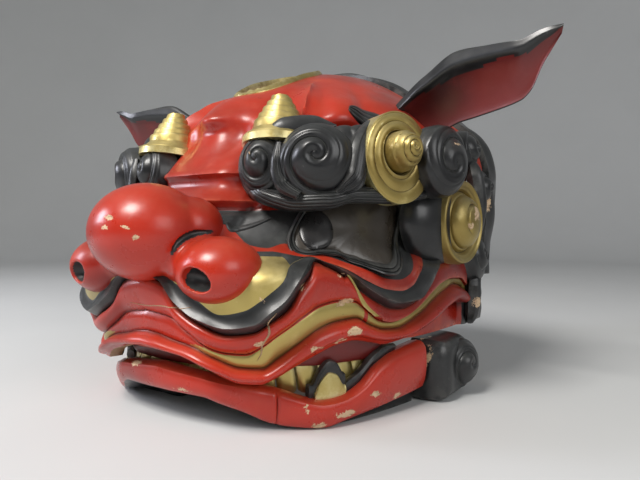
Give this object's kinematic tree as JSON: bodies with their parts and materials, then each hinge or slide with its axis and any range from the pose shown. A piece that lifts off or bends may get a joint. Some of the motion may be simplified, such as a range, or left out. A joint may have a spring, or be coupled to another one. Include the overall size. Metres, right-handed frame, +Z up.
{
  "type": "lion dance head",
  "caption": "Carved and lacquered wooden lion head for a lion dance, hollow and open behind, with swirling brows, long ears and a hinged lower jaw that claps.",
  "frame": {"origin": "on the floor under the middle of the object, which rests on its lower jaw with the mouth closed", "axes": "+Z up, the face looks along -Y, +X is the lion's left"},
  "size_m": [0.4856, 0.304, 0.306],
  "materials": {
    "red_lacquer": "aged glossy red lacquer on carved wood",
    "black_lacquer": "aged satin black lacquer on carved wood",
    "gold_leaf": "aged gilding on carved wood",
    "eye_lacquer": "dull dark brown lacquer",
    "plain_wood": "bare turned wood"
  },
  "bodies": {
    "head": {"head_shell": "red_lacquer", "nose": "red_lacquer", "alar_disc_left": "gold_leaf", "alar_disc_right": "gold_leaf", "brow_cone_left": "gold_leaf", "brow_cone_right": "gold_leaf", "brow_fan_left": "gold_leaf", "brow_fan_right": "gold_leaf", "brow_left": "black_lacquer", "brow_right": "black_lacquer", "brow_snail_inner_left": "black_lacquer", "brow_snail_inner_right": "black_lacquer", "brow_snail_middle_left": "black_lacquer", "brow_snail_middle_right": "black_lacquer", "brow_snail_outer_left": "black_lacquer", "brow_snail_outer_right": "black_lacquer", "cheek_band_left": "black_lacquer", "cheek_band_right": "black_lacquer", "temple_pad_left": "black_lacquer", "temple_pad_right": "black_lacquer", "temple_boss_left": "gold_leaf", "temple_boss_right": "gold_leaf", "eye_left": "eye_lacquer", "eye_right": "eye_lacquer", "hair_curl_upper_left": "black_lacquer", "hair_curl_upper_right": "black_lacquer", "hair_curl_middle_left": "black_lacquer", "hair_curl_middle_right": "black_lacquer", "hair_curl_lower_left": "black_lacquer", "hair_curl_lower_right": "black_lacquer", "rear_band": "black_lacquer", "ear_left": "black_lacquer", "ear_right": "black_lacquer", "upper_gum": "red_lacquer", "upper_teeth": "gold_leaf", "jaw_pin_left": "plain_wood", "jaw_pin_right": "plain_wood"},
    "jaw": {"jaw": "red_lacquer", "jaw_curl_left": "black_lacquer", "jaw_curl_right": "black_lacquer", "fang_left": "gold_leaf", "fang_right": "gold_leaf", "jaw_gum_left": "black_lacquer", "jaw_gum_right": "black_lacquer"}
  },
  "joints": [
    {"name": "jaw_hinge", "type": "hinge", "parent": "head", "child": "jaw", "pos_m": [0, 0.078, 0.024], "axis": [1, 0, 0], "range_deg": [0, 30]}
  ]
}
